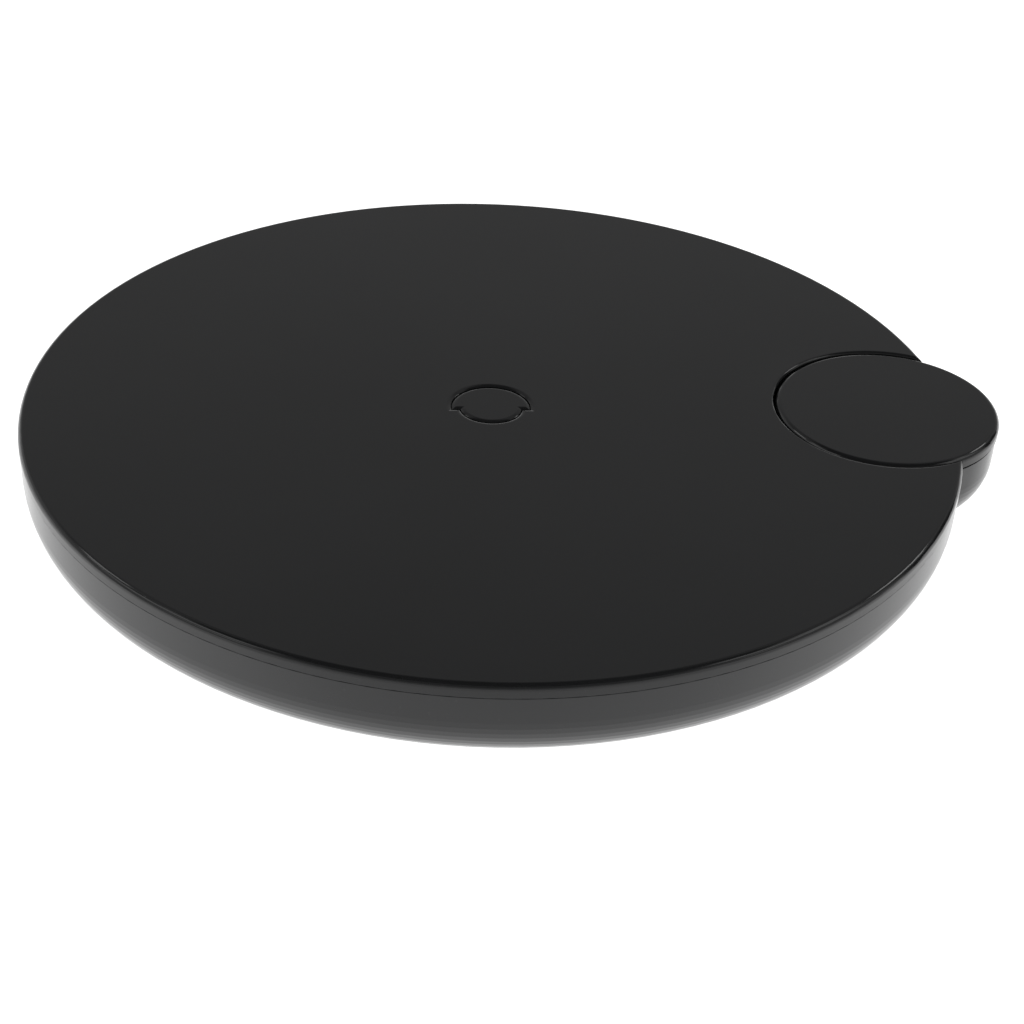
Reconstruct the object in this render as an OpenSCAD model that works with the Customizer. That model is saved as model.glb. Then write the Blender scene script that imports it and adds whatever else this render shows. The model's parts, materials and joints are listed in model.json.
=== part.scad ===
// Battery-driven turntable display stand.
// A flat round table with a push-button disc let into its edge turns as one
// on a low foot. Origin: centre of the table on the ground plane, +Z up,
// +X towards the push button. All sizes in millimetres.

/* [Table] */
// Diameter of the round table
table_d = 200; // [198:1:206]
// Height of the table's top face above the ground
table_h = 24; // [24:0.5:26]
// Radius that rounds the table's top edge
edge_r = 1.3; // [1:0.1:1.6]
// Height of the smooth band above the seam
rim_h = 2.9; // [2.7:0.1:3.2]
// Height of the bowl-shaped lower shell below the seam
bowl_h = 16.3; // [16.3:0.1:16.5]
// Radius of the round that the lower shell's side wall rolls under with
bowl_r = 12; // [11.5:0.5:12.5]
// Angle at which that round meets the flat underside
bowl_turn = 64; // [62:1:65]
// Slope of the lower shell's side wall at the seam in degrees
wall_draft = 2; // [1:0.5:3]
// Wall thickness of the two shells
wall_t = 2; // [1.8:0.1:2.2]
// Thickness of the table's deck
deck_t = 2.4; // [2.2:0.1:2.6]

/* [Push button] */
// Radius of the button disc
button_r = 24.2; // [23.5:0.1:24.5]
// Distance from the table's centre to the button's centre
button_x = 85.5; // [84:0.5:86]
// Gap between the button and the table around it
button_gap = 0.35; // [0.3:0.05:0.6]
// Radius that rounds the table's edge around the button
notch_edge_r = 0.7; // [0.5:0.1:0.8]
// How far the button travels
button_travel = 0.4; // [0.3:0.05:0.4]

/* [Centre plug] */
// Radius of the recess on its wide side
key_wide_r = 8.6; // [8.4:0.1:8.8]
// Radius of the recess on its narrow side
key_narrow_r = 6.85; // [6.7:0.05:7]
// Gap around the plug
key_gap = 0.3; // [0.2:0.05:0.4]
// Radius of the shallow curve that the plug and its recess dip into the gap with
key_edge_r = 2; // [1.8:0.1:2.2]

/* [Foot] */
// Radius of the foot
foot_r = 50; // [49:0.5:51]
// Number of rubber pads round the foot's edge
pad_count = 6; // [4:1:8]
// Radius of the circle that the bearing balls run on
ball_track_r = 39; // [38.5:0.5:39]
// Number of bearing balls
ball_count = 12; // [8:1:16]

/* [Gear train] */
// Teeth on every pinion
pinion_teeth = 10; // [10:1:10]
// Teeth on every wheel
wheel_teeth = 60; // [60:1:60]
// Module of the gear on the foot and of the pinion that rolls round it
module_slow = 0.8; // [0.8:0.1:0.8]
// Module of the two faster stages
module_fast = 0.5; // [0.5:0.1:0.5]
// Tooth thinning that gives the gears their backlash
backlash = 0.12; // [0.1:0.01:0.16]

/* [Hidden] */
$fn = 96;

// Colours
black_gloss = "#202123";
black_moulded = "#2b2c2e";
black_rubber = "#161616";
white_acetal = "#e6e4dc";
bright_steel = "#b9bcc0";
nickel = "#c9c4b4";
board_green = "#1f5a38";

// Heights
table_r = table_d / 2;
seam_z = table_h - rim_h;
bowl_z = seam_z - bowl_h;
floor_t = 2;
floor_z = bowl_z + floor_t;
deck_z = table_h - deck_t;
seam_gap = 0.1;
seam_round = 0.12;
rim_overhang = 0.1;
cap_overhang = 0.25;
shell_r = table_r - rim_overhang;
lobe_r = button_r - cap_overhang;
play = 0.05;
press = 0.01;
skin = 0.1;

// Screws: radius of the shank, its length, radius of the head, its height
gear_screw = [1, 7.5, 1.9, 1.3];
guide_screw = [1, 6, 1.9, 1.3];
clamp_screw = [1, 5, 1.9, 1.2];
plate_screw = [1, 6, 1.9, 0.6];
board_screw = [0.9, 2.4, 1.7, 1.1];
case_screw = [1.15, 12.5, 2.6, 1.8];
pilot_r = 1.05;
pilot_depth = 6;
clear_r = 1.15;
board_pilot_r = 0.95;
board_clear_r = 1.1;
case_pilot_r = 1.25;
case_clear_r = 1.5;
case_head_well_r = 2.9;
case_seat = bowl_z + 4;

// Foot
pad_h = 1.8;
pad_r = 3;
pad_track_r = foot_r - 4;
centre_pad_r = 6;
foot_z = 1;
foot_top = bowl_z - 1;
post_r = 9;
post_top = floor_z + 1.2;
spigot_r = 3;
spigot_h = 2;
gear_screw_at = [for (a = [30, 150, 270]) polar(6, a)];
label_at = [0, -22];
label_size = [44, 16];
label_depth = 0.3;
bush_r = 11;
washer_r = 14;
ball_r = 2;
ball_z = (foot_top + bowl_z) / 2;
groove_r = ball_r + 0.08;
race_w = 3.2;
race_top = ball_z + groove_r + 1;
cage_t = 0.6;
cage_w = 2.8;

// Gears: the wheel is thinned and the pinion thickened by the same shift
shift = 0.42;
pressure = 20;
gear_slow_h = 3;
web_track_r = 15.5;
web_hole_r = 4;
small_web_track_r = 9.5;
small_web_hole_r = 2.6;
wheel_h = 1.8;
distance_slow = module_slow * (pinion_teeth + wheel_teeth) / 2;
distance_fast = module_fast * (pinion_teeth + wheel_teeth) / 2;
second_dir = 60;
first_dir = 60;
motor_dir = 0;
second_at = polar(distance_slow, second_dir);
first_at = second_at + polar(distance_fast, first_dir);
motor_at = first_at + polar(distance_fast, motor_dir);
second_wheel_z = post_top + 5.6;
first_pinion_z = second_wheel_z - 0.4;
first_wheel_z = second_wheel_z + 3.6;
plate_z = first_wheel_z + wheel_h + 0.4;
plate_t = 1.4;
pin_r = 1;
pin_foot = floor_z - 0.7;
pin_post_r = 2.2;
first_post_top = first_pinion_z - 0.2;
second_post_top = floor_z + 0.8;
plate_posts = [[42, 20], [2, 46], [31, 62]];
plate_post_r = 2.8;
plate_lug_r = 4.6;

// Motor
motor_r = 10;
motor_z = floor_z + 0.2;
motor_h = 9;
motor_ring_t = 1.4;
motor_nose_r = 2.4;
terminal_z = motor_z + 2.9;
shaft_r = 0.75;
clamp_z = motor_z + motor_h + play;
clamp_t = 0.6;
clamp_reach = 13;
clamp_arm_w = 5.2;
clamp_post_r = 2.4;
clamp_posts = [motor_at + polar(clamp_reach, -50), motor_at + polar(clamp_reach, 75)];

// Case screws
case_screw_r = 86;
case_screw_at = [for (a = [40, 90, 140, 220, 270, 320]) polar(case_screw_r, a)];
case_boss_top = bowl_z + 12.4;
case_boss_r = 4.2;
case_stub_r = 3.2;

// Push button and its switch
stem_r = 3;
stem_foot = floor_z + 6.15;
guide_z = floor_z + 9.2;
guide_t = 1.6;
guide_reach = 14;
guide_posts = [[button_x, guide_reach], [button_x, -guide_reach]];
guide_post_r = 2.6;
guide_w = 11;
cap_z = seam_z + (button_travel + 0.1) / 2;
lobe_top = seam_z - (button_travel + 0.1) / 2;
spring_r = 4.4;
spring_wire_r = 0.35;
clip_t = 0.6;
clip_z = guide_z - play - clip_t;
clip_groove_r = 2.3;
clip_r = 4.6;
clip_mouth = 3.4;
spring_turns = 3.5;
board_z = floor_z + 1.2;
board_t = 1.2;
board_size = [25, 20];
board_screw_at = [[button_x - 10, 7], [button_x - 10, -7]];
board_post_r = 2.4;
switch_w = 6;
switch_h = 2.9;
switch_z = board_z + board_t;
plunger_r = 1.6;
well_t = 1.2;
well_foot = floor_z + 6;

// Centre plug
key_at = [-0.5, -0.6];
key_step = -1.3;
key_edge_turn = 32;
key_depth = 2;
socket_r = 3.5;
socket_wall = 2.5;
socket_foot = post_top + gear_slow_h + 3;
plug_foot = table_h - 9;

// Battery bay: two AA cells side by side along Y
cell_r = 7.1;
cell_len = 50;
cell_pitch = 14.5;
bay_x = -68.8;
bay_size = [29.5, 55];
bay_wall = 1.2;
cell_z = floor_z + 0.2 + cell_r;
bay_top = cell_z + cell_r;
door_size = [31.4, 56.8];
door_t = 1.7;
door_lip_t = 0.9;
door_play = 0.15;
contact_t = 0.4;
lead_r = 0.6;
lead_gap = 2;
lead_run_r = 61;
notch_w = 3;
notch_depth = 0.7;
grip_w = 0.8;
grip_pitch = 1.6;
grip_len = 16;
grip_depth = 0.35;
hinge_r = 1;
hinge_pin_r = 0.6;
hinge_pin_reach = 1.2;
hinge_x = bay_x - door_size.x / 2 + hinge_r;
hinge_z = bowl_z + hinge_r;

// ---- Helpers -------------------------------------------------------------

function polar(r, a) = r * [cos(a), sin(a)];

function arc(cx, cy, r, from, to, steps = 10) =
  [for (i = [0:steps]) [cx, cy] + polar(r, from + (to - from) * i / steps)];

// Outline of a bowl: from its axis, along the underside, round and up the wall.
// A bowl that is inset keeps the centre of its round, so the wall has one thickness.
function bowl_outline(rim_r, top, inset) =
  let (centre_z = bowl_z + bowl_r * sin(bowl_turn),
       lean = tan(wall_draft),
       centre_r = rim_r - bowl_r * cos(wall_draft)
         - lean * (seam_z - centre_z + bowl_r * sin(wall_draft)),
       round_r = bowl_r - inset,
       foot = bowl_z + inset,
       top_r = centre_r + round_r * cos(wall_draft)
         + lean * (top - centre_z + round_r * sin(wall_draft)))
  concat([[0, foot]],
    arc(centre_r, centre_z, round_r, -asin((centre_z - foot) / round_r), -wall_draft),
    arc(top_r - seam_round, top - seam_round, seam_round, 0, 90, 4),
    [[0, top]]);

module bowl(rim_r, top, inset = 0) {
  rotate_extrude($fn = 180) polygon(bowl_outline(rim_r, top, inset));
}

// Disc with a rounded top edge, and a small round under its rim if asked for
module rounded_disc(r, bottom, top, round_r, under_r = 0, turn = 90) {
  rotate_extrude($fn = 180)
    polygon(concat([[0, bottom]],
      under_r > 0 ? arc(r - under_r, bottom + under_r, under_r, -90, 0, 4) : [[r, bottom]],
      arc(r - round_r * sin(turn), top - round_r, round_r, 90 - turn, 90), [[0, top]]));
}

// Everything above a round hole whose upper edge is rounded
module flared_hole(r, bottom, top, round_r, turn = 90) {
  reach = r + round_r * sin(turn);
  rotate_extrude($fn = 180)
    polygon(concat([[0, bottom], [r, bottom]],
      arc(reach, top - round_r, round_r, 90 + turn, 90),
      [[reach, top + 1], [0, top + 1]]));
}

module tube(outer, inner, bottom, top) {
  difference() {
    translate([0, 0, bottom]) cylinder(r = outer, h = top - bottom);
    translate([0, 0, bottom - 1]) cylinder(r = inner, h = top - bottom + 2);
  }
}

module groove(track, minor, z) {
  translate([0, 0, z])
    rotate_extrude($fn = 120) translate([track, 0]) circle(r = minor, $fn = 48);
}

module slab(size, bottom, top) {
  translate([-size.x / 2, -size.y / 2, bottom]) cube([size.x, size.y, top - bottom]);
}

// Cross-head screw: underside of the head at the origin, shank towards -Z
module screw(size) {
  shank_r = size[0];
  length = size[1];
  head_r = size[2];
  head_h = size[3];
  slot = [head_r * 1.25, head_r * 0.3];
  difference() {
    union() {
      cylinder(r = head_r, h = head_h, $fn = 32);
      translate([0, 0, -length]) cylinder(r = shank_r, h = length, $fn = 32);
    }
    for (turn = [0, 90])
      rotate(turn) slab([slot.x, slot.y], head_h * 0.4, head_h + 1);
  }
}

module screws(places, z, size) {
  for (p = places)
    translate([p.x, p.y, z]) screw(size);
}

// Upright boss with a blind pilot hole from its top
module post(p, r, bottom, top, pilot_r, pilot_depth) {
  translate([p.x, p.y, 0])
    difference() {
      translate([0, 0, bottom]) cylinder(r = r, h = top - bottom, $fn = 48);
      translate([0, 0, top - pilot_depth]) cylinder(r = pilot_r, h = pilot_depth + 1, $fn = 32);
    }
}

// Round wire swept along a path of points; the path never runs straight up
module wire(path, r, sides = 8) {
  last = len(path) - 1;
  points = [for (i = [0:last])
    let (run = path[min(i + 1, last)] - path[max(i - 1, 0)],
         along = run / norm(run),
         across = cross([0, 0, 1], along) / norm(cross([0, 0, 1], along)),
         over = cross(along, across))
    for (k = [0:sides - 1]) let (turn = polar(r, 360 * k / sides))
      path[i] + across * turn.x + over * turn.y];
  walls = [for (i = [0:last - 1]) for (k = [0:sides - 1])
    let (n = (k + 1) % sides, p = i * sides, q = p + sides) [p + k, p + n, q + n, q + k]];
  ends = [[for (k = [sides - 1:-1:0]) k], [for (k = [0:sides - 1]) last * sides + k]];
  polyhedron(points, concat(walls, ends), convexity = 8);
}

// Curve that leaves the first point, is drawn towards each corner, and ends at the last
function soft_path(corners, steps = 5) =
  let (last = len(corners) - 1)
  concat([corners[0]],
    [for (i = [1:last - 1])
      let (from = (corners[i - 1] + corners[i]) / 2, to = (corners[i] + corners[i + 1]) / 2)
      for (k = [0:steps]) let (u = k / steps)
        (1 - u) * (1 - u) * from + 2 * u * (1 - u) * corners[i] + u * u * to],
    [corners[last]]);

// The same level path moved sideways, to the left of its run
function beside(path, distance) =
  let (last = len(path) - 1)
  [for (i = [0:last])
    let (run = path[min(i + 1, last)] - path[max(i - 1, 0)], flat = norm([run.x, run.y]))
      path[i] + [-run.y, run.x, 0] * distance / flat];

// Red and black lead side by side
module lead_pair(path) {
  color("#7c1f1d") wire(soft_path(beside(path, lead_gap / 2)), lead_r);
  color("#1b1b1d") wire(soft_path(beside(path, -lead_gap / 2)), lead_r);
}

// Path of a coil spring about +Z whose radius may taper
function coil_path(bottom_r, top_r, height, turns, steps_per_turn = 18) =
  let (steps = ceil(turns * steps_per_turn))
  [for (i = [0:steps]) let (u = i / steps)
    concat(polar(bottom_r + (top_r - bottom_r) * u, 360 * turns * u), height * u)];

// ---- Gears ---------------------------------------------------------------

function involute(angle) = tan(angle) * 180 / PI - angle;

// Half the angle that one tooth spans at radius r
function tooth_half(r, teeth, m, x) =
  let (pitch_r = m * teeth / 2,
       base_r = pitch_r * cos(pressure),
       thickness = m * (PI / 2 + 2 * x * tan(pressure)) - backlash)
  thickness / pitch_r / 2 * 180 / PI + involute(pressure)
    - involute(acos(min(1, base_r / r)));

function gear_outline(teeth, m, x, flank_steps = 4) =
  let (pitch_r = m * teeth / 2,
       base_r = pitch_r * cos(pressure),
       root_r = pitch_r - m * (1.25 - x),
       tip_r = pitch_r + m * (x > 0 ? 0.9 + x : 1 + x),
       start_r = max(base_r, root_r),
       radii = [for (i = [0:flank_steps]) start_r + (tip_r - start_r) * i / flank_steps],
       half = tooth_half(start_r, teeth, m, x))
  [for (k = [0:teeth - 1]) let (centre = 360 * k / teeth)
    each concat([polar(root_r, centre - half - 0.5)],
      [for (r = radii) polar(r, centre - tooth_half(r, teeth, m, x))],
      [for (i = [flank_steps:-1:0]) polar(radii[i], centre + tooth_half(radii[i], teeth, m, x))],
      [polar(root_r, centre + half + 0.5)])];

// Turn that puts a gear in mesh with the one it follows, seen along direction dir
function mesh_turn(driver_teeth, driver_turn, teeth, dir) =
  dir + 180 - (180 - driver_teeth * (dir - driver_turn)) / teeth;

module spur(teeth, m, x, bottom, height, turn) {
  translate([0, 0, bottom]) rotate(turn)
    linear_extrude(height) polygon(gear_outline(teeth, m, x));
}

second_pinion_turn = mesh_turn(wheel_teeth, 0, pinion_teeth, second_dir);
first_pinion_turn = mesh_turn(wheel_teeth, 0, pinion_teeth, first_dir);
motor_pinion_turn = mesh_turn(wheel_teeth, 0, pinion_teeth, motor_dir);

// ---- Foot ----------------------------------------------------------------

module base_plate() {
  color(black_moulded)
    difference() {
      union() {
        rounded_disc(foot_r, foot_z, foot_top, 1);
        translate([0, 0, foot_z]) cylinder(r = post_r, h = post_top - foot_z);
        translate([0, 0, foot_z]) cylinder(r = spigot_r, h = post_top + spigot_h - foot_z);
      }
      groove(ball_track_r, groove_r, ball_z);
      for (i = [0:pad_count - 1])
        translate(concat(polar(pad_track_r, i * 360 / pad_count), 0))
          cylinder(r = pad_r + play, h = pad_h, $fn = 48);
      cylinder(r = centre_pad_r + play, h = pad_h);
      for (p = gear_screw_at)
        translate([p.x, p.y, foot_z + 2]) cylinder(r = pilot_r, h = post_top, $fn = 32);
      translate([label_at.x, label_at.y, 0]) slab(label_size, 0, foot_z + label_depth);
    }
}

module foot_pads() {
  color(black_rubber) {
    cylinder(r = centre_pad_r, h = pad_h);
    for (i = [0:pad_count - 1])
      translate(concat(polar(pad_track_r, i * 360 / pad_count), 0))
        cylinder(r = pad_r, h = pad_h, $fn = 48);
  }
}

module base_gear() {
  color(white_acetal)
    difference() {
      spur(wheel_teeth, module_slow, -shift, post_top, gear_slow_h, 0);
      translate([0, 0, post_top - 1]) cylinder(r = spigot_r + play, h = gear_slow_h + 2);
      for (p = gear_screw_at)
        translate([p.x, p.y, post_top - 1]) cylinder(r = clear_r, h = gear_slow_h + 2, $fn = 32);
      for (a = [0:60:300])
        translate(concat(polar(web_track_r, a), post_top - 1))
          cylinder(r = web_hole_r, h = gear_slow_h + 2, $fn = 48);
    }
}

module base_gear_screws() {
  color(bright_steel)
    screws(gear_screw_at, post_top + gear_slow_h, gear_screw);
}

module retaining_washer() {
  color(white_acetal) tube(washer_r, post_r + play, floor_z + 3 * play, post_top - play);
}

module ball_cage() {
  color(white_acetal)
    difference() {
      tube(ball_track_r + cage_w, ball_track_r - cage_w, ball_z - cage_t / 2, ball_z + cage_t / 2);
      for (i = [0:ball_count - 1])
        translate(concat(polar(ball_track_r, i * 360 / ball_count), ball_z - 1))
          cylinder(r = ball_r + 0.12, h = 2, $fn = 48);
    }
}

module bearing_balls() {
  color(bright_steel)
    for (i = [0:ball_count - 1])
      translate(concat(polar(ball_track_r, i * 360 / ball_count), ball_z)) sphere(r = ball_r, $fn = 48);
}

// ---- Table shells --------------------------------------------------------

module lower_shell() {
  color(black_moulded)
    difference() {
      union() {
        difference() {
          union() {
            bowl(shell_r, seam_z);
            translate([button_x, 0, 0]) bowl(lobe_r, lobe_top);
          }
          bowl(shell_r, seam_z + 1, wall_t);
          translate([button_x, 0, 0]) {
            bowl(lobe_r, seam_z + 1, wall_t);
            translate([0, 0, lobe_top]) cylinder(r = button_r + button_gap, h = table_h);
          }
        }
        tube(ball_track_r + race_w, ball_track_r - race_w, floor_z - 1, race_top);
        translate([bay_x, 0, 0])
          slab(bay_size + 2 * [bay_wall, bay_wall], floor_z - skin, bay_top);
        for (p = case_screw_at)
          translate([p.x, p.y, floor_z - 1])
            cylinder(r = case_boss_r, h = case_boss_top - floor_z + 1, $fn = 48);
        for (p = plate_posts) post(p, plate_post_r, floor_z - 1, plate_z, pilot_r, pilot_depth);
        for (p = clamp_posts) post(p, clamp_post_r, floor_z - 1, clamp_z, pilot_r, pilot_depth);
        for (p = guide_posts) post(p, guide_post_r, floor_z - 1, guide_z, pilot_r, pilot_depth);
        for (p = board_screw_at) post(p, board_post_r, floor_z - 1, board_z, board_pilot_r, 2);
        post(first_at, pin_post_r, floor_z - 1, first_post_top, pin_r, first_post_top - pin_foot);
        post(second_at, pin_post_r, floor_z - 1, second_post_top, pin_r, second_post_top - pin_foot);
        translate([motor_at.x, motor_at.y, 0])
          tube(motor_r + motor_ring_t, motor_r + 0.2, floor_z - 1, floor_z + 1.5);
      }
      groove(ball_track_r, groove_r, ball_z);
      translate([0, 0, bowl_z - 1]) cylinder(r = bush_r, h = floor_t + 2);
      for (p = [first_at, second_at])
        translate([p.x, p.y, pin_foot]) cylinder(r = pin_r, h = 2, $fn = 32);
      for (p = case_screw_at)
        translate([p.x, p.y, bowl_z - 1]) {
          cylinder(r = case_clear_r, h = case_boss_top, $fn = 32);
          cylinder(r = case_head_well_r, h = case_seat - bowl_z + 1, $fn = 48);
        }
      translate([bay_x, 0, 0]) {
        slab(bay_size, floor_z, bay_top + 1);
        slab(door_size + 2 * [door_play, door_play], bowl_z - 1, bowl_z + door_lip_t + play);
        slab(bay_size - [2, 2], bowl_z, floor_z + 1);
        translate([door_size.x / 2 + notch_w / 2, 0, 0])
          slab([notch_w + 1, grip_len], bowl_z - 1, bowl_z + notch_depth);
      }
      hinge_bar(hinge_r + door_play, door_size.y + 2 * door_play);
      hinge_bar(hinge_pin_r + play, door_size.y + 2 * hinge_pin_reach + 0.4);
    }
}

module pivot_bush() {
  color(white_acetal) tube(bush_r - play, post_r + play, bowl_z, floor_z + skin);
}

// Everything on the +Y side of a step whose top edge is rounded over
module stepped_half(step, bottom, top, round_r, turn = 90) {
  reach = 3 * key_wide_r;
  edge = step + round_r * sin(turn);
  translate([-reach / 2, 0, 0]) rotate([90, 0, 90]) linear_extrude(reach)
    polygon(concat([[step, bottom]],
      arc(edge, top - round_r, round_r, 90 + turn, 90), [[reach, top], [reach, bottom]]));
}

// The same with its top edge flared out, to cut a recess
module flared_half(step, bottom, top, round_r, turn = 90) {
  reach = 3 * key_wide_r;
  edge = step - round_r * sin(turn);
  translate([-reach / 2, 0, 0]) rotate([90, 0, 90]) linear_extrude(reach)
    polygon(concat([[step, bottom]], arc(edge, top - round_r, round_r, 90 - turn, 90),
      [[edge, top + 1], [reach, top + 1], [reach, bottom]]));
}

module top_plate() {
  lip_r = shell_r - wall_t - 0.15;
  lip_t = 1.5;
  color(black_gloss)
    difference() {
      union() {
        difference() {
          rounded_disc(table_r, seam_z + seam_gap, table_h, edge_r, seam_round);
          translate([0, 0, seam_z - 1]) cylinder(r = lip_r - lip_t, h = deck_z - seam_z + 1, $fn = 180);
        }
        tube(lip_r, lip_r - lip_t, seam_z - lip_t, deck_z);
        translate(concat(key_at, deck_z - 1.6)) cylinder(r = key_wide_r + 2, h = 2);
        translate(concat(key_at, socket_foot))
          cylinder(r = socket_r + socket_wall, h = deck_z - socket_foot);
        for (p = case_screw_at)
          translate([p.x, p.y, case_boss_top + 0.2])
            cylinder(r = case_stub_r, h = deck_z - case_boss_top + 0.3, $fn = 48);
        intersection() {
          translate([button_x, 0, 0])
            cylinder(r = button_r + button_gap + well_t, h = deck_z + 0.5, $fn = 180);
          translate([0, 0, well_foot])
            cylinder(r = lip_r - lip_t + skin, h = deck_z - well_foot + 0.5, $fn = 180);
        }
      }
      translate([button_x, 0, 0])
        flared_hole(button_r + button_gap, well_foot - 1, table_h, notch_edge_r);
      translate(concat(key_at, 0)) {
        flared_hole(key_narrow_r, table_h - key_depth, table_h, key_edge_r, key_edge_turn);
        intersection() {
          flared_hole(key_wide_r, table_h - key_depth, table_h, key_edge_r, key_edge_turn);
          flared_half(key_step, table_h - key_depth, table_h, key_edge_r, key_edge_turn);
        }
        translate([0, 0, socket_foot - 1]) cylinder(r = socket_r, h = table_h);
      }
      for (p = case_screw_at)
        translate([p.x, p.y, case_boss_top])
          cylinder(r = case_pilot_r, h = deck_z + 0.8 - case_boss_top, $fn = 32);
    }
}

module case_screws() {
  color(bright_steel)
    for (p = case_screw_at)
      translate([p.x, p.y, case_seat]) rotate([180, 0, 0]) screw(case_screw);
}

module centre_plug() {
  foot = table_h - key_depth + play;
  top = table_h - play;
  color(black_gloss)
    translate(concat(key_at, 0)) {
      rounded_disc(key_narrow_r - key_gap, foot, top, key_edge_r, turn = key_edge_turn);
      intersection() {
        rounded_disc(key_wide_r - key_gap, foot, top, key_edge_r, turn = key_edge_turn);
        stepped_half(key_step + key_gap, foot, top, key_edge_r, key_edge_turn);
      }
      translate([0, 0, plug_foot]) cylinder(r = socket_r - play, h = foot - plug_foot + 0.5);
    }
}

// ---- Push button ---------------------------------------------------------

module button_cap() {
  color(black_gloss)
    translate([button_x, 0, 0]) {
      rounded_disc(button_r, cap_z, table_h - play, edge_r, seam_round);
      difference() {
        translate([0, 0, stem_foot]) cylinder(r = stem_r, h = deck_z - stem_foot + 0.2);
        tube(stem_r + 1, clip_groove_r, clip_z - play, clip_z + clip_t + play);
      }
    }
}

module stem_clip() {
  color(bright_steel)
    translate([button_x, 0, 0])
      difference() {
        tube(clip_r, clip_groove_r + play, clip_z, clip_z + clip_t);
        translate([clip_r, 0, 0]) slab([2 * clip_r, clip_mouth], clip_z - 1, clip_z + clip_t + 1);
      }
}

module return_spring() {
  foot = guide_z + guide_t + play + spring_wire_r;
  color(bright_steel)
    translate([button_x, 0, foot])
      wire(coil_path(spring_r, spring_r, cap_z - play - spring_wire_r - foot, spring_turns),
        spring_wire_r);
}

module button_guide() {
  color(white_acetal)
    difference() {
      translate([button_x, 0, 0]) {
        slab([guide_w, 2 * guide_reach], guide_z, guide_z + guide_t);
        for (s = [-1, 1]) translate([0, s * guide_reach, guide_z]) cylinder(r = 4, h = guide_t, $fn = 48);
      }
      translate([button_x, 0, guide_z - 1]) cylinder(r = stem_r + 0.06, h = guide_t + 2);
      for (p = guide_posts)
        translate([p.x, p.y, guide_z - 1]) cylinder(r = clear_r, h = guide_t + 2, $fn = 32);
    }
}

module guide_screws() {
  color(bright_steel) screws(guide_posts, guide_z + guide_t, guide_screw);
}

module control_board() {
  color(board_green)
    difference() {
      translate([button_x, 0, 0]) slab(board_size, board_z, board_z + board_t);
      for (p = board_screw_at)
        translate([p.x, p.y, board_z - 1]) cylinder(r = board_clear_r, h = board_t + 2, $fn = 32);
    }
}

module board_screws() {
  color(bright_steel) screws(board_screw_at, board_z + board_t, board_screw);
}

module switch_body() {
  color("#26272a")
    translate([button_x, 0, 0])
      difference() {
        union() {
          slab([switch_w, switch_w], switch_z, switch_z + switch_h);
          for (x = [-1, 1], y = [-1, 1])
            translate([x * (switch_w / 2 + 0.4), y * 2, 0]) slab([1.2, 0.8], switch_z, switch_z + 0.4);
        }
        translate([0, 0, switch_z + switch_h - 1.5]) cylinder(r = plunger_r + play, h = 2, $fn = 32);
      }
}

module switch_plunger() {
  color("#3a3a3d")
    translate([button_x, 0, switch_z + switch_h - 0.9])
      cylinder(r = plunger_r, h = stem_foot - play - (switch_z + switch_h - 0.9), $fn = 32);
}

// ---- Drive ---------------------------------------------------------------

module drive_motor() {
  color(bright_steel)
    translate([motor_at.x, motor_at.y, 0])
      difference() {
        union() {
          rounded_disc(motor_r, motor_z, motor_z + motor_h, 0.8);
          translate([0, 0, motor_z]) cylinder(r = motor_nose_r, h = motor_h + 0.8);
          for (y = [-1, 1] * lead_gap / 2)
            translate([motor_r, y, terminal_z - lead_r - 0.5]) slab([4, 1.4], 0, 0.4);
        }
        translate([0, 0, motor_z + 1]) cylinder(r = shaft_r + play, h = motor_h + 2, $fn = 32);
      }
}

module motor_shaft() {
  color(bright_steel)
    translate([motor_at.x, motor_at.y, motor_z + 1.2])
      cylinder(r = shaft_r, h = plate_z - 0.2 - motor_z - 1.2, $fn = 32);
}

module motor_pinion() {
  bottom = first_wheel_z - 0.2;
  color(white_acetal)
    translate([motor_at.x, motor_at.y, 0])
      difference() {
        spur(pinion_teeth, module_fast, shift, bottom, wheel_h + 0.4, motor_pinion_turn);
        translate([0, 0, bottom - 1]) cylinder(r = shaft_r + press, h = wheel_h + 3, $fn = 32);
      }
}

module motor_clamp() {
  color(nickel)
    translate([0, 0, clamp_z]) linear_extrude(clamp_t)
      difference() {
        union() {
          translate(motor_at) circle(r = motor_r - 1);
          for (p = clamp_posts) {
            toward = p - motor_at;
            translate(p) circle(r = clamp_arm_w / 2 + 0.3, $fn = 48);
            translate(motor_at) rotate(atan2(toward.y, toward.x))
              translate([0, -clamp_arm_w / 2]) square([clamp_reach, clamp_arm_w]);
          }
        }
        translate(motor_at) circle(r = motor_nose_r + 0.2, $fn = 48);
        for (p = clamp_posts) translate(p) circle(r = clear_r, $fn = 32);
      }
}

module motor_clamp_screws() {
  color(bright_steel) screws(clamp_posts, clamp_z + clamp_t, clamp_screw);
}

// Wheel above, pinion below, on one moulding
module compound_gear(wheel_z, pinion_z, pinion_h, pinion_m, pinion_turn) {
  difference() {
    union() {
      spur(wheel_teeth, module_fast, -shift, wheel_z, wheel_h, 0);
      spur(pinion_teeth, pinion_m, shift, pinion_z, pinion_h, pinion_turn);
    }
    translate([0, 0, pinion_z - 1]) cylinder(r = pin_r + play, h = pinion_h + wheel_h + 3, $fn = 48);
    for (a = [36:72:360])
      translate(concat(polar(small_web_track_r, a), wheel_z - 1))
        cylinder(r = small_web_hole_r, h = wheel_h + 2, $fn = 32);
  }
}

module first_gear() {
  color(white_acetal)
    translate([first_at.x, first_at.y, 0])
      compound_gear(first_wheel_z, first_pinion_z, first_wheel_z - first_pinion_z,
        module_fast, first_pinion_turn);
}

module second_gear() {
  color(white_acetal)
    translate([second_at.x, second_at.y, 0])
      compound_gear(second_wheel_z, floor_z + 1, second_wheel_z - floor_z - 1,
        module_slow, second_pinion_turn);
}

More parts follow.
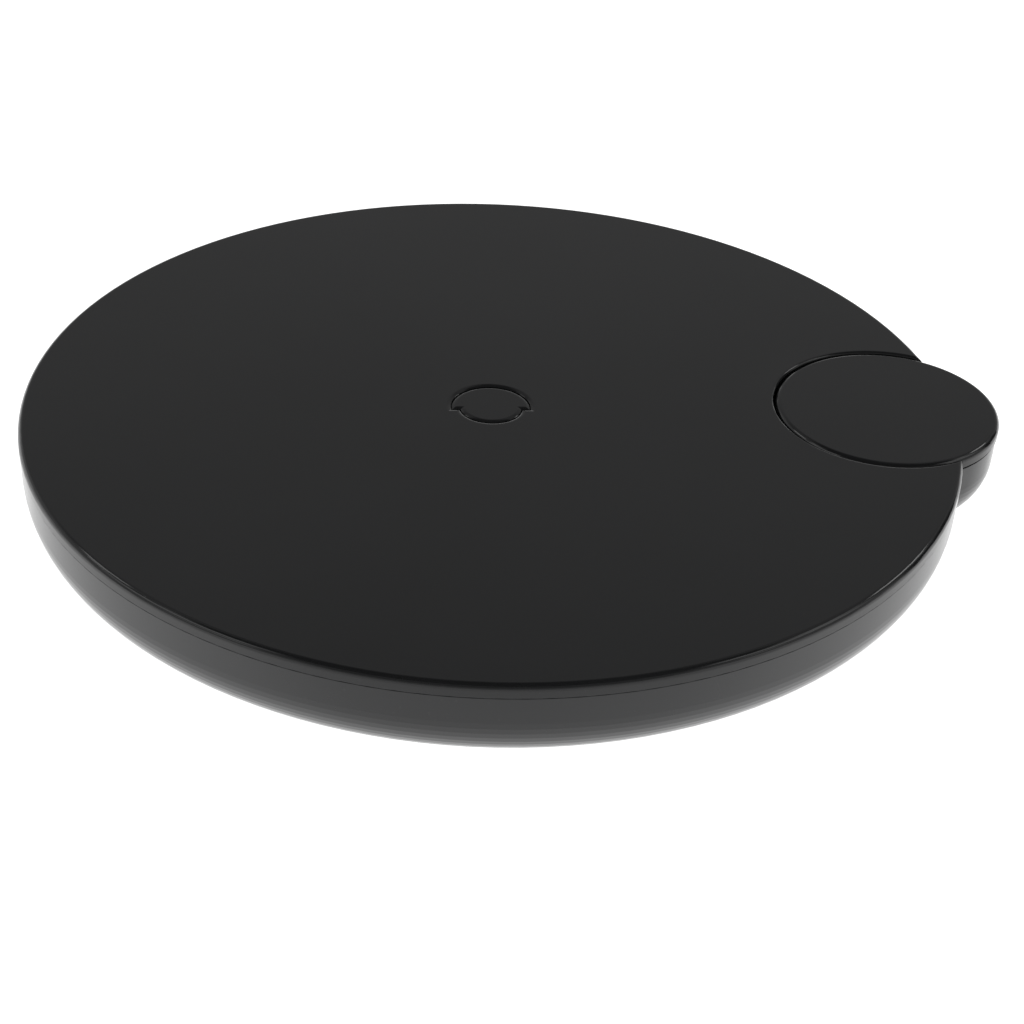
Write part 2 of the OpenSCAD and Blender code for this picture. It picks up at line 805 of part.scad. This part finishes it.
module gear_pins() {
  color(bright_steel)
    for (p = [first_at, second_at])
      translate([p.x, p.y, pin_foot])
        cylinder(r = pin_r - press, h = plate_z + plate_t - pin_foot - skin, $fn = 48);
}

module gear_plate() {
  color(black_moulded)
    difference() {
      translate([0, 0, plate_z]) linear_extrude(plate_t) hull()
        for (p = concat(plate_posts, [second_at])) translate(p) circle(r = plate_lug_r, $fn = 32);
      for (p = plate_posts)
        translate([p.x, p.y, plate_z - 1]) cylinder(r = clear_r, h = plate_t + 2, $fn = 32);
      for (p = [first_at, second_at])
        translate([p.x, p.y, plate_z - 1]) cylinder(r = pin_r + press, h = plate_t + 2, $fn = 48);
    }
}

module gear_plate_screws() {
  color(bright_steel) screws(plate_posts, plate_z + plate_t, plate_screw);
}

// ---- Battery bay ---------------------------------------------------------

module aa_cells() {
  nipple_h = 1.2;
  nipple_r = 2.7;
  for (s = [-1, 1])
    translate([bay_x + s * cell_pitch / 2, 0, cell_z]) rotate([s * 90, 0, 0]) {
      color("#3d4147") translate([0, 0, -cell_len / 2]) cylinder(r = cell_r, h = cell_len - nipple_h);
      color(nickel) translate([0, 0, cell_len / 2 - nipple_h - skin])
        cylinder(r = nipple_r, h = nipple_h + skin, $fn = 48);
    }
}

module contact_plates() {
  end = bay_size.y / 2 - play;
  color(nickel) {
    for (s = [-1, 1])
      translate([bay_x + s * cell_pitch / 2, 0, cell_z])
        for (e = [-1, 1])
          translate([0, e * (end - contact_t / 2), 0]) slab([10, contact_t], -5, 5);
  }
}

module contact_springs() {
  wire_r = 0.3;
  foot = bay_size.y / 2 - contact_t - 2 * play - wire_r;
  color(nickel)
    for (s = [-1, 1])
      translate([bay_x + s * cell_pitch / 2, s * foot, cell_z]) rotate([s * 90, 0, 0])
        wire(coil_path(3.8, 2.2, foot - cell_len / 2 - play - wire_r, 2.5), wire_r);
}

// Round bar along Y, centred on the door's hinge line
module hinge_bar(r, length) {
  translate([hinge_x, length / 2, hinge_z]) rotate([90, 0, 0]) cylinder(r = r, h = length, $fn = 48);
}

module battery_door() {
  color(black_moulded) {
    difference() {
      translate([bay_x, 0, 0]) slab(door_size, bowl_z, bowl_z + door_lip_t);
      translate([hinge_x - hinge_r, 0, 0])
        slab([2 * hinge_r, door_size.y + 1], bowl_z - 1, bowl_z + 3);
      for (i = [1:5])
        translate([bay_x + door_size.x / 2 - grip_pitch * i - grip_w, 0, 0])
          slab([grip_w, grip_len], bowl_z - 1, bowl_z + grip_depth);
    }
    translate([bay_x, 0, 0])
      slab(bay_size - [2.3, 2.3], bowl_z + door_lip_t - skin, bowl_z + door_t);
    hinge_bar(hinge_r, door_size.y);
    hinge_bar(hinge_pin_r, door_size.y + 2 * hinge_pin_reach);
  }
}

module battery_leads() {
  z = floor_z + 2.4;
  start = [bay_x + bay_size.x / 2 + bay_wall + 2, -20, z];
  goal = [button_x - board_size.x / 2 + 1.2, -4, switch_z + lead_r + play];
  lead_pair(concat([start, start + [0, -8, 0]],
    [for (a = [228:24:324]) concat(polar(lead_run_r, a), z)],
    [[66, -12, z], goal + [-4, 0, 0], goal]));
}

module motor_leads() {
  z = terminal_z;
  start = concat(motor_at + [motor_r + 1.4, 0], z);
  goal = [button_x - board_size.x / 2 + 1.2, 3, switch_z + lead_r + play];
  lead_pair([start, start + [4, 0, 0], [61, 24, z], [66, 8, z], goal + [-3, 0, 0], goal]);
}

// ---- Assembly ------------------------------------------------------------

base_plate();
foot_pads();
base_gear();
base_gear_screws();
retaining_washer();
ball_cage();
bearing_balls();
lower_shell();
pivot_bush();
top_plate();
case_screws();
centre_plug();
button_cap();
stem_clip();
return_spring();
button_guide();
guide_screws();
control_board();
board_screws();
switch_body();
switch_plunger();
drive_motor();
motor_shaft();
motor_pinion();
motor_clamp();
motor_clamp_screws();
first_gear();
second_gear();
gear_pins();
gear_plate();
gear_plate_screws();
aa_cells();
contact_plates();
contact_springs();
battery_door();
battery_leads();
motor_leads();
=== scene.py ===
"""Looks for the turntable display stand: materials, small parts of the board, studio and camera."""

import json
import math

import bmesh
import bpy
from mathutils import Matrix, Vector


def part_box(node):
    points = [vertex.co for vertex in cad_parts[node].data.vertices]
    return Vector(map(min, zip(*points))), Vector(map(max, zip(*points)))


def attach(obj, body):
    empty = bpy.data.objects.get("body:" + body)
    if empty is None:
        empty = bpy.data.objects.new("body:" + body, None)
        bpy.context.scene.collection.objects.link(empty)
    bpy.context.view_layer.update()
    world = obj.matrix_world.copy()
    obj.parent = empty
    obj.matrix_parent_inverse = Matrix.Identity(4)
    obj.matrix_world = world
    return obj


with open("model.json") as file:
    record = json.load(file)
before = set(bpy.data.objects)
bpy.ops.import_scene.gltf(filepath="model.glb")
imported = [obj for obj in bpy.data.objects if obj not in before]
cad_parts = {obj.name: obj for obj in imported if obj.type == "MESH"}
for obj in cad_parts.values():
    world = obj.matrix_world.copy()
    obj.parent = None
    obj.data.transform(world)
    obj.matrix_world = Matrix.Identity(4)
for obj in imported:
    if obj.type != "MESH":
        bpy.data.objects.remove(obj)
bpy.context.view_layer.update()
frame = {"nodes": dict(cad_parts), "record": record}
SLOT_OF = {part["node"]: part["material_slot"] for part in frame["record"]["subparts"]}
MM = 0.001

# ---- Node helpers ---------------------------------------------------------


class NodeTree:
    """A node tree with short calls for the nodes that the finishes and the studio share."""

    def __init__(self, tree):
        self.nodes, self.links = tree.nodes, tree.links
        self.nodes.clear()

    def feed(self, value, socket):
        """Links a node's output to a socket, or sets the socket to a plain number or colour."""
        if isinstance(value, bpy.types.NodeSocket):
            self.links.new(value, socket)
        elif socket.type == "RGBA":
            socket.default_value = (*value, 1)
        else:
            socket.default_value = value

    def span(self, value, low, high, from_low=0.3, from_high=0.7):
        """Maps value to another range, held at both ends. Noise lies mostly between 0.3 and 0.7."""
        node = self.nodes.new("ShaderNodeMapRange")
        for name, number in (
            ("From Min", from_low),
            ("From Max", from_high),
            ("To Min", low),
            ("To Max", high),
        ):
            node.inputs[name].default_value = number
        self.links.new(value, node.inputs["Value"])
        return node.outputs["Result"]

    def math(self, operation, a, b=0.0):
        node = self.nodes.new("ShaderNodeMath")
        node.operation = operation
        self.feed(a, node.inputs[0])
        self.feed(b, node.inputs[1])
        return node.outputs[0]

    def mix(self, factor, a, b, kind="RGBA"):
        """Blends two colours, or two numbers where the kind is FLOAT."""
        node = self.nodes.new("ShaderNodeMix")
        node.data_type = kind
        for name, value in (("Factor", factor), ("A", a), ("B", b)):
            self.feed(value, node.inputs[name])
        return node.outputs["Result"]

    def lerp(self, factor, a, b):
        """Blends two numbers."""
        return self.mix(factor, a, b, "FLOAT")

    def window(self, value, low, high, edge):
        """1 between low and high, 0 outside, with edges that are soft for twice the edge's value."""
        rise = self.span(value, 0, 1, low - edge, low + edge)
        fall = self.span(value, 1, 0, high - edge, high + edge)
        return self.math("MULTIPLY", rise, fall)

    def blend_shaders(self, factor, a, b, output):
        """Sends a blend of two shaders to an output's surface."""
        node = self.nodes.new("ShaderNodeMixShader")
        for socket, source in zip(node.inputs, (factor, a, b)):
            self.links.new(source, socket)
        self.links.new(node.outputs["Shader"], output.inputs["Surface"])


class Tree(NodeTree):
    """A new material: a principled shader, and textures placed in the object's own metres."""

    def __init__(self, name):
        self.material = bpy.data.materials.new(name)
        self.material.use_nodes = True
        super().__init__(self.material.node_tree)
        self.output = self.nodes.new("ShaderNodeOutputMaterial")
        self.shader = self.nodes.new("ShaderNodeBsdfPrincipled")
        self.links.new(self.shader.outputs["BSDF"], self.output.inputs["Surface"])
        self.place = self.nodes.new("ShaderNodeTexCoord").outputs["Object"]

    def noise(self, size_mm, detail, stretch=(1, 1, 1)):
        """Noise between 0 and 1 whose largest features are about size_mm across."""
        scale = self.nodes.new("ShaderNodeMapping")
        scale.inputs["Scale"].default_value = [s / (size_mm * MM) for s in stretch]
        self.links.new(self.place, scale.inputs["Vector"])
        texture = self.nodes.new("ShaderNodeTexNoise")
        texture.inputs["Scale"].default_value = 1.0
        texture.inputs["Detail"].default_value = detail
        self.links.new(scale.outputs["Vector"], texture.inputs["Vector"])
        return texture.outputs["Fac"]

    def drift(self, noise, tone, low, high=1):
        """Lets a tone wander between two shares of itself."""
        return self.mix(self.span(noise, 0, 1), [c * low for c in tone], [c * high for c in tone])

    def axis(self, name):
        """One coordinate of the shaded point, in metres."""
        node = self.nodes.new("ShaderNodeSeparateXYZ")
        self.links.new(self.place, node.inputs[0])
        return node.outputs[name]

    def bump(self, *layers):
        """Stacks bumps: each layer is (height, depth in micrometres)."""
        normal = None
        for height, depth_um in layers:
            node = self.nodes.new("ShaderNodeBump")
            node.inputs["Distance"].default_value = depth_um * 1e-6
            self.links.new(height, node.inputs["Height"])
            if normal:
                self.links.new(normal, node.inputs["Normal"])
            normal = node.outputs["Normal"]
        self.links.new(normal, self.shader.inputs["Normal"])

    def set(self, **values):
        for name, value in values.items():
            self.feed(value, self.shader.inputs[name.replace("_", " ")])


# ---- Finishes -------------------------------------------------------------

# Sizes of grain and patches are in millimetres, depths of bumps in micrometres
GLOSS_TONE = (0.012, 0.0124, 0.0132)
# AA cell: how far the bare steel reaches from each end, and the collar from the flat end
STEEL_END = 1.6
COLLAR_END = 14
STEEL_TONE = (0.62, 0.6, 0.56)
COPPER_TONE = (0.42, 0.19, 0.07)
# Spacing of the board's traces, and the edges of a trace as shares of that spacing
TRACE_PITCH = 3.2
TRACE_EDGES = (0.02, 0.06)


def gloss_black(name, tone, roughness=0.085, ripple_um=2.5):
    """Polished black ABS: faint mould ripple, hairline wiping marks and thin dust in the gloss."""
    t = Tree(name)
    patches = t.noise(38, 2)
    hairlines = t.noise(0.8, 4, (1, 9, 1))
    ripple = t.noise(4.5, 2)
    specks = t.span(t.noise(1.1, 5), 0, 0.35, 0.66, 0.74)
    dusty = [c + 0.02 for c in tone]
    polish = t.span(patches, roughness * 0.85, roughness * 1.15)
    gloss = t.math("ADD", polish, t.span(hairlines, -0.01, 0.01))
    t.set(
        Base_Color=t.mix(specks, t.drift(patches, tone, 0.88, 1.12), dusty),
        Roughness=t.math("ADD", gloss, t.math("MULTIPLY", specks, 0.2)),
        IOR=1.5,
    )
    t.bump((ripple, ripple_um), (hairlines, 0.25))
    return t.material


def satin_moulding(name, tone, roughness=0.42):
    """Spark-eroded plastic: a fine even grain that scatters the light."""
    t = Tree(name)
    grain = t.noise(0.35, 3)
    t.set(
        Base_Color=t.drift(t.noise(22, 2), tone, 0.9, 1.1),
        Roughness=t.span(grain, roughness * 0.88, roughness * 1.12),
        IOR=1.5,
    )
    t.bump((grain, 14))
    return t.material


def rubber(name, tone):
    """Matt rubber with dust in patches."""
    t = Tree(name)
    grain = t.noise(0.5, 5)
    dust = t.noise(3.5, 4)
    dusty = [c + 0.035 for c in tone]
    t.set(
        Base_Color=t.mix(t.span(dust, 0, 0.5, 0.5, 0.75), tone, dusty),
        Roughness=t.span(grain, 0.7, 0.9),
        IOR=1.52,
    )
    t.bump((grain, 30))
    return t.material


def acetal(name, tone):
    """Milky gear plastic with a trace of grease in its gloss."""
    t = Tree(name)
    patches = t.noise(6, 3)
    t.set(
        Base_Color=t.drift(patches, tone, 0.93),
        Roughness=t.span(patches, 0.26, 0.42),
        IOR=1.48,
        Subsurface_Weight=0.12,
        Subsurface_Scale=0.6 * MM,
    )
    t.bump((t.noise(0.25, 2), 3))
    return t.material


def metal(name, tone, roughness):
    """Metal with fine marks that run round it."""
    t = Tree(name)
    brush = t.noise(0.25, 3, (1, 1, 14))
    t.set(
        Base_Color=t.drift(t.noise(4, 3), tone, 0.88),
        Metallic=1.0,
        Roughness=t.span(brush, roughness * 0.8, roughness * 1.25),
    )
    t.bump((brush, 1.5))
    return t.material


def circuit_board(name, tone):
    """Solder mask over copper: traces show as slightly raised paler lines."""
    t = Tree(name)
    cells = t.nodes.new("ShaderNodeTexVoronoi")
    cells.distance = "CHEBYCHEV"
    cells.feature = "DISTANCE_TO_EDGE"
    cells.inputs["Scale"].default_value = 1 / (TRACE_PITCH * MM)
    t.links.new(t.place, cells.inputs["Vector"])
    trace = t.span(cells.outputs["Distance"], 1, 0, *TRACE_EDGES)
    weave = t.noise(0.4, 2)
    t.set(
        Base_Color=t.mix(trace, tone, [c * 1.7 for c in tone]),
        Roughness=t.span(weave, 0.25, 0.35),
        IOR=1.52,
    )
    t.bump((trace, 18), (weave, 3))
    return t.material


def cell_sleeve(name, tone):
    """AA cell: printed film sleeve with a plain copper-coloured collar, steel at both ends."""
    t = Tree(name)
    low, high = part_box("aa_cells")
    half = (high.y - low.y) / 2
    along = t.math("ABSOLUTE", t.axis("Y"))
    steel = t.math("GREATER_THAN", along, half - STEEL_END * MM)
    across = t.math("SUBTRACT", t.axis("X"), (low.x + high.x) / 2)
    toward_nipple = t.math("MULTIPLY", t.math("SIGN", across), t.axis("Y"))
    collar = t.math("LESS_THAN", toward_nipple, -(half - COLLAR_END * MM))
    scuff = t.noise(1.6, 4)
    t.set(
        Base_Color=t.mix(steel, t.mix(collar, tone, COPPER_TONE), STEEL_TONE),
        Metallic=t.math("MAXIMUM", steel, t.math("MULTIPLY", collar, 0.6)),
        Roughness=t.span(scuff, 0.2, 0.34),
    )
    t.bump((scuff, 4))
    return t.material


def lead_insulation(name, tone):
    """Soft plastic sleeve of a lead."""
    t = Tree(name)
    grain = t.noise(0.3, 2)
    t.set(
        Base_Color=t.drift(grain, tone, 0.88),
        Roughness=t.span(grain, 0.3, 0.42),
    )
    t.bump((grain, 5))
    return t.material


FINISHES = {
    "deck": gloss_black("deck_black", GLOSS_TONE),
    # The shell's tone is lighter than the deck's: painted light, standing for light its walls catch from
    # the bright floor. Its rougher gloss and deeper ripple are its own finish.
    "shell": gloss_black("shell_black", (0.018, 0.0185, 0.0195), 0.15, 4),
    "button": gloss_black("button_black", GLOSS_TONE),
    "plug": gloss_black("plug_black", GLOSS_TONE),
    "foot": satin_moulding("foot_black", (0.035, 0.035, 0.037)),
    "door": satin_moulding("door_black", (0.033, 0.033, 0.035)),
    "rubber": rubber("pad_rubber", (0.02, 0.02, 0.021)),
    "acetal": acetal("gear_acetal", (0.8, 0.78, 0.72)),
    "steel": metal("zinc_steel", (0.58, 0.59, 0.61), 0.32),
    "ball_steel": metal("ball_steel", (0.72, 0.72, 0.74), 0.08),
    "nickel": metal("spring_nickel", (0.7, 0.68, 0.62), 0.2),
    "board": circuit_board("solder_mask", (0.02, 0.11, 0.045)),
    "switch": satin_moulding("switch_black", (0.03, 0.03, 0.032), 0.5),
    "cell": cell_sleeve("cell_sleeve", (0.03, 0.033, 0.04)),
    "lead": lead_insulation("lead_insulation", (0.38, 0.025, 0.02)),
}


def dress_frame():
    """Gives every CAD node the finish of its material slot."""
    for name, node in frame["nodes"].items():
        for slot in node.material_slots:
            slot.material = FINISHES[SLOT_OF[name]]


# ---- Parts on the control board -------------------------------------------

# All in millimetres. Places are along and across the board, from the middle of its upper face.
# A block is its size, the height of its middle over the board, and its bevel
CHIP_PLACE = (8, -4.5)
CHIP_BODY = ((4.9, 3.9, 1.4), 0.85, 0.12)
LEGS_ON_A_SIDE = 4
LEG_PITCH = 1.27
LEG_WIDTH = 0.42
LEG_BEVEL = 0.04
# A cranked leg, from the body down to its foot: distance out, and the block there
LEG_PIECES = (
    (2.2, ((LEG_WIDTH, 0.7, 0.2), 0.8, LEG_BEVEL)),
    (2.5, ((LEG_WIDTH, 0.2, 0.8), 0.45, LEG_BEVEL)),
    (2.8, ((LEG_WIDTH, 0.75, 0.2), 0.11, LEG_BEVEL)),
)

CAPACITOR_PLACE = (8, 4.5)
# Profiles are radius and height: here the crimped groove, then the rounded rim and slightly dished top
CAPACITOR_FOOT = ((0, 0.1), (1.9, 0.1), (2.0, 0.25), (2.0, 0.8), (1.82, 1.0), (1.82, 1.15), (2.0, 1.35))
CAPACITOR_TOP = ((2.0, 5.0), (1.9, 5.25), (1.6, 5.35), (0, 5.3))

RESISTOR_PLACES = ((-6.8, -1.1), (-6.8, 1.1), (-5.5, 7.2))
RESISTOR_BODY = ((1.3, 1.2, 0.5), 0.27, 0.06)
RESISTOR_CAP = ((0.36, 1.24, 0.54), 0.28, 0.08)
RESISTOR_CAP_OUT = 0.8

# Where the leads end: distance from the board's edge, and places across it
JOINT_INSET = 1.2
JOINTS_ACROSS = (-5, -3, 2, 4)
JOINT_PROFILE = ((0, 0.02), (1.0, 0.02), (0.85, 0.2), (0.6, 0.5), (0.5, 0.95), (0.3, 1.25), (0, 1.32))

# Points closer than this are one point
MERGE = 0.002


def add_piece(name, mesh, slot, smooth):
    """Puts a finished bmesh in the scene as a piece that rides on the table."""
    data = bpy.data.meshes.new(name)
    mesh.to_mesh(data)
    mesh.free()
    for face in data.polygons:
        face.use_smooth = smooth
    data.materials.append(FINISHES[slot])
    piece = bpy.data.objects.new(name, data)
    bpy.context.scene.collection.objects.link(piece)
    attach(piece, "table")


def lathe(mesh, profile, place, segments):
    """Turns a profile of (radius, height) in millimetres round an upright line through a place."""
    spine = [mesh.verts.new(place + Vector((r, 0, z)) * MM) for r, z in profile]
    edges = [mesh.edges.new(pair) for pair in zip(spine, spine[1:])]
    bmesh.ops.spin(
        mesh,
        geom=spine + edges,
        cent=place,
        axis=(0, 0, 1),
        angle=2 * math.pi,
        steps=segments,
        use_duplicate=False,
    )
    bmesh.ops.remove_doubles(mesh, verts=mesh.verts, dist=MERGE * MM)
    bmesh.ops.recalc_face_normals(mesh, faces=mesh.faces)


def block(mesh, place, shape, along=0, across=0):
    """Block with rounded edges, moved along and across from its place on the board."""
    size, height, bevel = shape
    middle = place + Vector((along, across, height)) * MM
    scale = Matrix.Diagonal([side * MM for side in size] + [1])
    made = bmesh.ops.create_cube(mesh, size=1, matrix=Matrix.Translation(middle) @ scale)
    edges = {edge for vert in made["verts"] for edge in vert.link_edges}
    bmesh.ops.bevel(mesh, geom=list(edges), offset=bevel * MM, segments=2, affect="EDGES")


def board_spot(along, across):
    """A place on the board's upper face, in millimetres from its middle."""
    low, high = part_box("control_board")
    return Vector(((low.x + high.x) / 2 + along * MM, (low.y + high.y) / 2 + across * MM, high.z))


def driver_chip():
    """Motor driver with four cranked legs on either side."""
    place = board_spot(*CHIP_PLACE)
    body, legs = bmesh.new(), bmesh.new()
    block(body, place, CHIP_BODY)
    for side in (-1, 1):
        for leg in range(LEGS_ON_A_SIDE):
            along = (leg - (LEGS_ON_A_SIDE - 1) / 2) * LEG_PITCH
            for out, piece in LEG_PIECES:
                block(legs, place, piece, along, side * out)
    add_piece("driver_chip", body, "switch", smooth=False)
    add_piece("driver_chip_legs", legs, "nickel", smooth=False)


def reservoir_capacitor():
    """Small can with a crimped groove near its foot."""
    can = bmesh.new()
    lathe(can, CAPACITOR_FOOT + CAPACITOR_TOP, board_spot(*CAPACITOR_PLACE), segments=32)
    add_piece("reservoir_capacitor", can, "ball_steel", smooth=True)


def board_resistors():
    """Flat resistors, each with a metal cap on both ends."""
    bodies, caps = bmesh.new(), bmesh.new()
    for along, across in RESISTOR_PLACES:
        place = board_spot(along, across)
        block(bodies, place, RESISTOR_BODY)
        for side in (-1, 1):
            block(caps, place, RESISTOR_CAP, side * RESISTOR_CAP_OUT)
    add_piece("resistor_bodies", bodies, "switch", smooth=False)
    add_piece("resistor_ends", caps, "nickel", smooth=False)


def solder_joints():
    """A cone of solder where each lead meets the board."""
    joints = bmesh.new()
    low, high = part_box("control_board")
    along = JOINT_INSET - (high.x - low.x) / 2 / MM
    for across in JOINTS_ACROSS:
        lathe(joints, JOINT_PROFILE, board_spot(along, across), segments=20)
    add_piece("solder_joints", joints, "nickel", smooth=True)


# ---- Studio ---------------------------------------------------------------

# Directions are a bearing from straight ahead (+Y), positive to the right, and a height, both in degrees

WHITE = (1, 1, 1)
# Floor: half its width in metres, and its brightness as the camera sees it
FLOOR_HALF = 4.0
FLOOR_GLOW = 1.12
# In reflections it dims in front of the table: distance from the axis in millimetres, and brightness
FLOOR_NEAR = (95, FLOOR_GLOW)
FLOOR_FAR = (138, 0.74)
# Tent over the floor: it blends to each brightness between two heights
TENT_STEPS = ((4, 10, 0.28), (36, 52, 0.08))
# Panels, the same on the left and the right: bearings, heights and brightness
PANELS = ((45, 140, 8, 30, 0.45), (72, 118, 32, 52, 1.2), (13, 72, 44, 57, 0.28))
# A glow above the floor on the left, its dimmer upper part, and a dark flag on the right
ONE_SIDED = ((-66, -34, -5, 16, 1.0), (-66, -30, 16, 34, 0.5), (50, 78, -10, 26, 0.04))
# Half the width of the soft edge of a panel, a glow or a flag
EDGE = 3
# Soft lights: their distance in metres, and each one's bearing, height, half-angle and brightness
LIGHT_DISTANCE = 2.0
SOFT_BOXES = {"left_light": (-57, 43, 7, 1.6), "right_light": (57, 38, 6, 2.6)}

# Camera: its direction and distance in millimetres, both from the middle of the table's top
CAMERA_FROM = (184.06, 30.21)
CAMERA_DISTANCE = 511.5
# How far it looks to the right of and above that middle, as tangents, and its roll in degrees
CAMERA_AIM = (0.00981, -0.04466)
CAMERA_ROLL = 2.7545
# Sensor's width and focal length in millimetres, nearest and farthest distance in metres
SENSOR = 36
LENS = 83.93
CLIPPING = (0.01, 50)


def direction(bearing, height):
    """A unit vector towards a bearing and height."""
    turn, rise = math.radians(bearing), math.radians(height)
    return Vector((math.sin(turn) * math.cos(rise), math.cos(turn) * math.cos(rise), math.sin(rise)))


def studio_floor():
    """Lit white sweep that is bright enough to lose its shadows. It can be seen through from below."""
    mesh = bpy.data.meshes.new("floor")
    corners = [(x * FLOOR_HALF, y * FLOOR_HALF, 0) for x, y in ((-1, -1), (1, -1), (1, 1), (-1, 1))]
    mesh.from_pydata(corners, [], [(0, 1, 2, 3)])
    floor = bpy.data.objects.new("floor", mesh)
    bpy.context.scene.collection.objects.link(floor)
    t = Tree("floor_white")
    (near, bright), (far, dim) = FLOOR_NEAR, FLOOR_FAR
    reflected = t.span(t.axis("Y"), dim, bright, -far * MM, -near * MM)
    direct = t.nodes.new("ShaderNodeLightPath").outputs["Is Camera Ray"]
    t.set(
        Base_Color=(0.5, 0.5, 0.5),
        Roughness=0.9,
        Specular_IOR_Level=0.0,
        Emission_Color=WHITE,
        Emission_Strength=t.lerp(direct, reflected, FLOOR_GLOW),
    )
    below = t.nodes.new("ShaderNodeNewGeometry").outputs["Backfacing"]
    clear = t.nodes.new("ShaderNodeBsdfTransparent")
    t.blend_shaders(below, t.shader.outputs["BSDF"], clear.outputs["BSDF"], t.output)
    mesh.materials.append(t.material)


def studio_world():
    """Paper tent, bright where it meets the floor and dimmer above. The camera itself sees white."""
    world = bpy.data.worlds.new("studio")
    bpy.context.scene.world = world
    world.use_nodes = True
    t = NodeTree(world.node_tree)
    toward = t.nodes.new("ShaderNodeSeparateXYZ")
    t.links.new(t.nodes.new("ShaderNodeTexCoord").outputs["Generated"], toward.inputs[0])
    right, ahead, up = (toward.outputs[axis] for axis in "XYZ")
    height = t.math("DEGREES", t.math("ARCSINE", up))
    bearing = t.math("DEGREES", t.math("ARCTAN2", right, ahead))
    either_side = t.math("ABSOLUTE", bearing)
    glow = 1.0
    for low, high, value in TENT_STEPS:
        glow = t.lerp(t.span(height, 0, 1, low, high), glow, value)
    for side, patches in ((either_side, PANELS), (bearing, ONE_SIDED)):
        for start, stop, low, high, value in patches:
            across = t.window(side, start, stop, EDGE)
            upward = t.window(height, low, high, EDGE)
            glow = t.lerp(t.math("MULTIPLY", across, upward), glow, value)
    room = t.nodes.new("ShaderNodeBackground")
    white = t.nodes.new("ShaderNodeBackground")
    for background in (room, white):
        t.feed(WHITE, background.inputs["Color"])
    t.feed(glow, room.inputs["Strength"])
    direct = t.nodes.new("ShaderNodeLightPath").outputs["Is Camera Ray"]
    output = t.nodes.new("ShaderNodeOutputWorld")
    t.blend_shaders(direct, room.outputs["Background"], white.outputs["Background"], output)


def soft_box(name, bearing, height, spread, glow):
    """Round light that spans twice a half-angle (degrees) as seen from the table."""
    radius = LIGHT_DISTANCE * math.tan(math.radians(spread))
    area = math.pi * radius**2
    data = bpy.data.lights.new(name, "AREA")
    data.shape = "DISK"
    data.size = 2 * radius
    # An evenly bright flat face sends out pi times its brightness from each part of its area
    data.energy = glow * area * math.pi
    light = bpy.data.objects.new(name, data)
    bpy.context.scene.collection.objects.link(light)
    toward = direction(bearing, height)
    light.location = toward * LIGHT_DISTANCE
    light.rotation_mode = "QUATERNION"
    light.rotation_quaternion = toward.to_track_quat("Z", "Y")


def level_axes(ahead):
    """Right and up of a camera that looks ahead and is held level."""
    right = ahead.cross(Vector((0, 0, 1))).normalized()
    return right, right.cross(ahead)


def photo_camera():
    """Long lens about half a metre away, 30 degrees above the table, the button to the right."""
    back = direction(*CAMERA_FROM)
    right, up = level_axes(-back)
    aim_right, aim_up = CAMERA_AIM
    ahead = (right * aim_right + up * aim_up - back).normalized()
    right, up = level_axes(ahead)
    roll = math.radians(CAMERA_ROLL)
    rolled_right = right * math.cos(roll) + up * math.sin(roll)
    rolled_up = up * math.cos(roll) - right * math.sin(roll)
    data = bpy.data.cameras.new("camera")
    data.sensor_width = SENSOR
    data.lens = LENS
    data.clip_start, data.clip_end = CLIPPING
    camera = bpy.data.objects.new("camera", data)
    bpy.context.scene.collection.objects.link(camera)
    camera.rotation_mode = "QUATERNION"
    table_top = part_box("top_plate")[1].z
    matrix = Matrix((rolled_right, rolled_up, -ahead)).transposed().to_4x4()
    matrix.translation = Vector((0, 0, table_top)) + back * CAMERA_DISTANCE * MM
    camera.matrix_world = matrix
    bpy.context.scene.camera = camera


# ---- Scene ----------------------------------------------------------------

dress_frame()
driver_chip()
reservoir_capacitor()
board_resistors()
solder_joints()
studio_floor()
studio_world()
for name, placing in SOFT_BOXES.items():
    soft_box(name, *placing)
photo_camera()
bpy.context.scene.view_settings.view_transform = "Standard"
